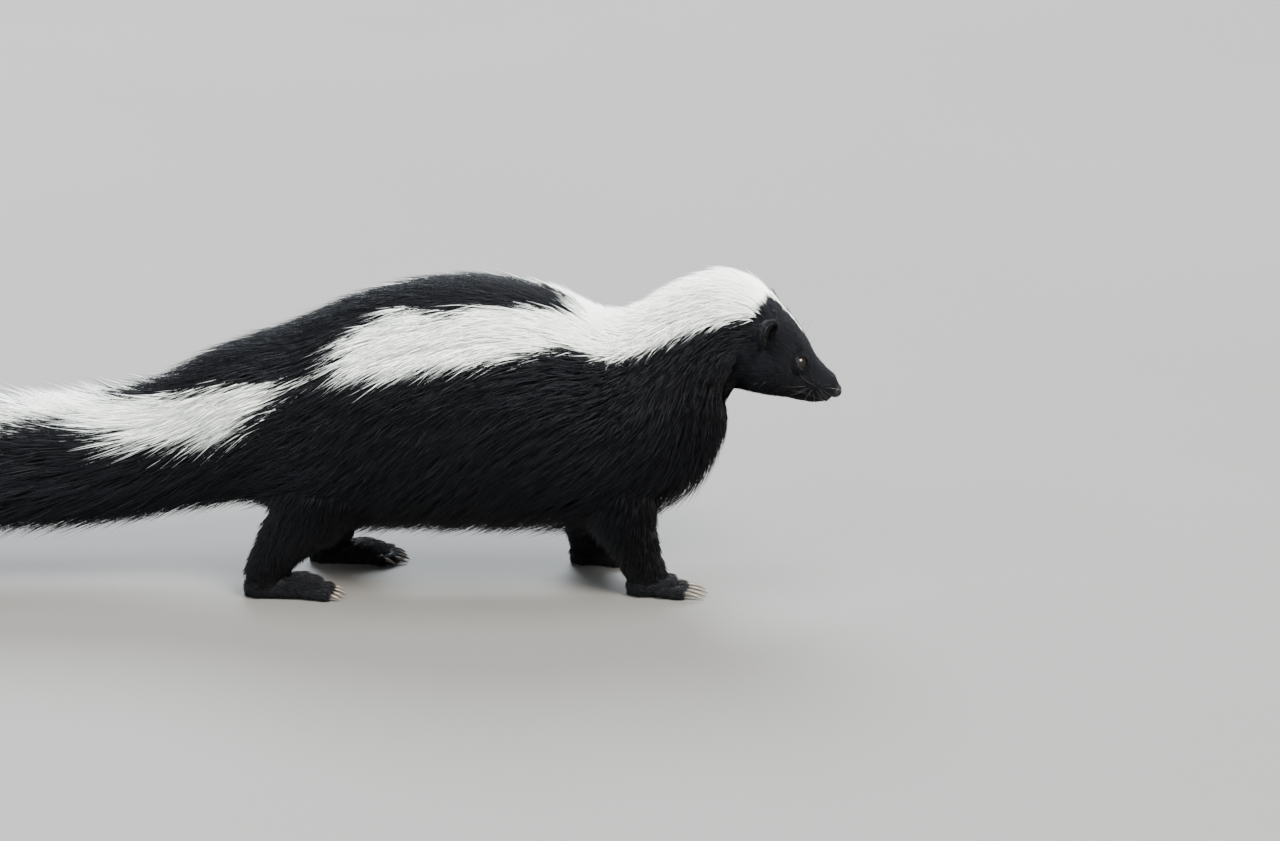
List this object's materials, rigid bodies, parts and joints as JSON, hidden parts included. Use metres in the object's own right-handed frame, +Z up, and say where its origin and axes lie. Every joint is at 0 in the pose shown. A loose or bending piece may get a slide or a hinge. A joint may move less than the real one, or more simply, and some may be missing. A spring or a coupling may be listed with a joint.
{
  "type": "striped skunk model",
  "caption": "Still life-size model of a striped skunk walking, back arched and head low, with a white nape, two white back stripes and a bushy tail held out behind.",
  "frame": {"origin": "middle of the model's box, at the level of the soles", "axes": "+X towards the nose, +Y towards the animal's left flank, +Z up"},
  "size_m": [0.7162, 0.142, 0.2159],
  "materials": {
    "torso_coat": "long soft guard hairs, black with two white stripes along the back",
    "neck_coat": "long soft guard hairs, white on the nape and black at the throat",
    "head_coat": "short flat fur, black with a white crown and a thin white line down the face",
    "tail_coat": "bushy coat, black and white hairs mixed",
    "leg_fur": "short flat black fur",
    "ear_fur": "very short black fur on a thin ear",
    "nose_leather": "moist black pebbled skin",
    "eye_ball": "wet, nearly black",
    "claw_horn": "dull horn, paler towards the tip"
  },
  "bodies": {
    "root": {"claw_fore_left_1": "claw_horn", "claw_fore_left_2": "claw_horn", "claw_fore_left_3": "claw_horn", "claw_fore_left_4": "claw_horn", "claw_fore_left_5": "claw_horn", "claw_fore_right_1": "claw_horn", "claw_fore_right_2": "claw_horn", "claw_fore_right_3": "claw_horn", "claw_fore_right_4": "claw_horn", "claw_fore_right_5": "claw_horn", "claw_hind_left_1": "claw_horn", "claw_hind_left_2": "claw_horn", "claw_hind_left_3": "claw_horn", "claw_hind_left_4": "claw_horn", "claw_hind_left_5": "claw_horn", "claw_hind_right_1": "claw_horn", "claw_hind_right_2": "claw_horn", "claw_hind_right_3": "claw_horn", "claw_hind_right_4": "claw_horn", "claw_hind_right_5": "claw_horn", "ear_left": "ear_fur", "ear_right": "ear_fur", "eye_left": "eye_ball", "eye_right": "eye_ball", "head": "head_coat", "leg_fore_left": "leg_fur", "leg_fore_right": "leg_fur", "leg_hind_left": "leg_fur", "leg_hind_right": "leg_fur", "neck": "neck_coat", "nose": "nose_leather", "tail": "tail_coat", "torso": "torso_coat"}
  },
  "joints": []
}
